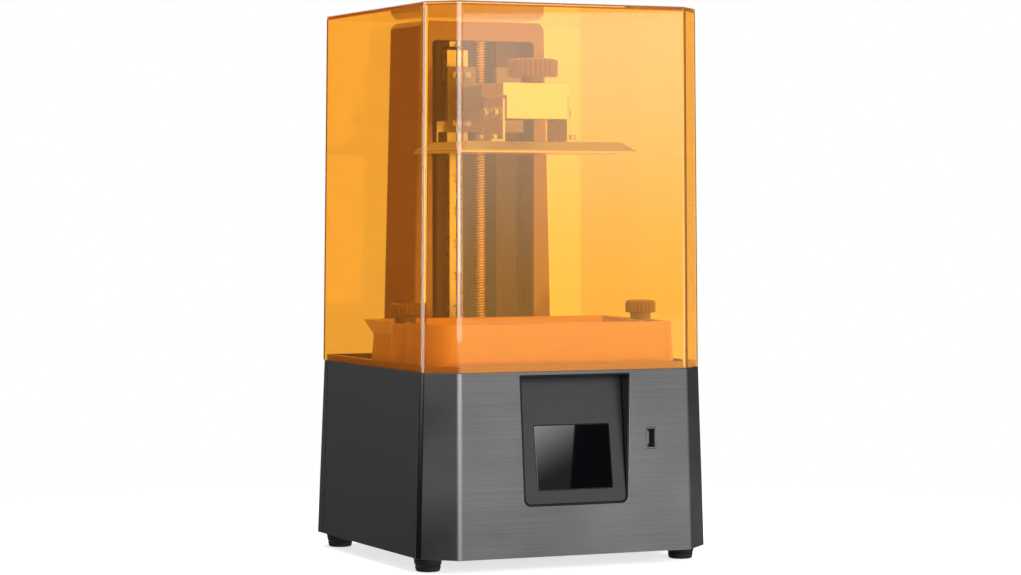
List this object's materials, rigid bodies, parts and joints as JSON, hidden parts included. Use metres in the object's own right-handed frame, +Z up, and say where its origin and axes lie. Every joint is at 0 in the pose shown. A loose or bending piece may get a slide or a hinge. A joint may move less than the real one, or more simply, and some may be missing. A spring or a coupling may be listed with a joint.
{
  "type": "resin printer",
  "caption": "Desktop resin 3D printer with a tinted lift-off cover, screw-driven build platform over a resin vat, and a grey base with a recessed touch screen.",
  "frame": {"origin": "bottom centre of the case, on the surface under the feet", "axes": "+X to the user's right, +Y from the screen towards the back, +Z up"},
  "size_m": [0.221, 0.221, 0.3908],
  "materials": {
    "brushed_front": "brushed, dark grey anodised",
    "charcoal_sheet": "fine satin powder coat",
    "black_plastic": "fine moulded grain",
    "grey_plastic": "fine moulded grain",
    "bezel_grey": "satin moulded",
    "cover_acrylic": "clear tinted, polished",
    "rubber": "matt",
    "bright_aluminium": "bead blasted, clear anodised",
    "dark_aluminium": "anodised",
    "steel": "ground",
    "brass": "turned",
    "vat_plastic": "fine satin",
    "film": "clear film",
    "screen_glass": "polished black",
    "lens_clear": "polished",
    "circuit_green": "solder mask",
    "motor_black": "satin",
    "ribbon": "flat cable"
  },
  "bodies": {
    "case": {"front_panel": "brushed_front", "left_side_panel": "charcoal_sheet", "right_side_panel": "charcoal_sheet", "rear_panel": "charcoal_sheet", "base_plate": "charcoal_sheet", "screen_surround": "black_plastic", "switch_housing": "black_plastic", "exhaust_fan_frame": "black_plastic", "led_fan_frame": "black_plastic", "dc_jack": "black_plastic", "home_sensor": "black_plastic", "light_hood": "black_plastic", "top_deck": "grey_plastic", "tower_cover": "grey_plastic", "screen_bezel": "bezel_grey", "foot_front_left": "rubber", "foot_front_right": "rubber", "foot_rear_left": "rubber", "foot_rear_right": "rubber", "vat_rails": "dark_aluminium", "lcd_frame": "dark_aluminium", "led_heat_sink": "dark_aluminium", "usb_port": "dark_aluminium", "linear_rails": "steel", "film_frame": "steel", "chassis_posts": "steel", "case_screws": "steel", "board_standoffs": "steel", "vat_body": "vat_plastic", "release_film": "film", "touch_screen": "screen_glass", "lcd_panel": "screen_glass", "lens_plate": "lens_clear", "main_board": "circuit_green", "led_board": "circuit_green", "z_motor": "motor_black", "display_module": "motor_black", "z_column": "motor_black", "display_ribbon": "ribbon"},
    "cover_shell": {"cover": "cover_acrylic"},
    "z_carriage": {"rail_blocks": "steel", "carriage_plate": "dark_aluminium", "lead_nut": "brass", "home_flag": "steel", "z_arm": "dark_aluminium", "platform_block": "bright_aluminium", "levelling_screws": "steel"},
    "platform": {"build_plate": "bright_aluminium", "left_bracket": "steel", "right_bracket": "steel", "bracket_screws": "steel"},
    "platform_clamp": {"clamp_knob": "black_plastic"},
    "screw": {"lead_screw": "steel"},
    "vat_knob_left": {"left_vat_knob": "black_plastic"},
    "vat_knob_right": {"right_vat_knob": "black_plastic"},
    "rocker": {"switch_rocker": "black_plastic"},
    "exhaust_rotor": {"exhaust_fan_rotor": "black_plastic"},
    "led_rotor": {"led_fan_rotor": "black_plastic"}
  },
  "joints": [
    {"name": "cover_lift", "type": "slide", "parent": "case", "child": "cover_shell", "axis": [0, 0, 1], "range_m": [0, 0.26]},
    {"name": "z_travel", "type": "slide", "parent": "case", "child": "z_carriage", "axis": [0, 0, 1], "range_m": [-0.1469, 0.0035]},
    {"name": "screw_turn", "type": "hinge", "parent": "case", "child": "screw", "pos_m": [0, 0.0585, 0.2], "axis": [0, 0, 1], "range_deg": [-13300, 400]},
    {"name": "plate_levelling", "type": "hinge", "parent": "z_carriage", "child": "platform", "pos_m": [0, -0.0237, 0.3174], "axis": [1, 0, 0], "range_deg": [-1, 1]},
    {"name": "clamp_turn", "type": "hinge", "parent": "z_carriage", "child": "platform_clamp", "pos_m": [0, -0.034, 0.345], "axis": [0, 0, 1], "range_deg": [0, 1080]},
    {"name": "left_vat_screw", "type": "hinge", "parent": "case", "child": "vat_knob_left", "pos_m": [-0.091, -0.0237, 0.175], "axis": [0, 0, 1], "range_deg": [0, 1080]},
    {"name": "right_vat_screw", "type": "hinge", "parent": "case", "child": "vat_knob_right", "pos_m": [0.091, -0.0237, 0.175], "axis": [0, 0, 1], "range_deg": [0, 1080]},
    {"name": "power_rocker", "type": "hinge", "parent": "case", "child": "rocker", "pos_m": [0.045, 0.10345, 0.034], "axis": [1, 0, 0], "range_deg": [-28, 0]},
    {"name": "exhaust_spin", "type": "hinge", "parent": "case", "child": "exhaust_rotor", "pos_m": [-0.052, 0.098, 0.072], "axis": [0, 1, 0], "continuous": true},
    {"name": "led_fan_spin", "type": "hinge", "parent": "case", "child": "led_rotor", "pos_m": [0, -0.0237, 0.038], "axis": [0, 0, 1], "continuous": true}
  ],
  "couplings": [
    {"joint": "screw_turn", "follows": "z_travel", "rad_per_m": 1570.8}
  ]
}
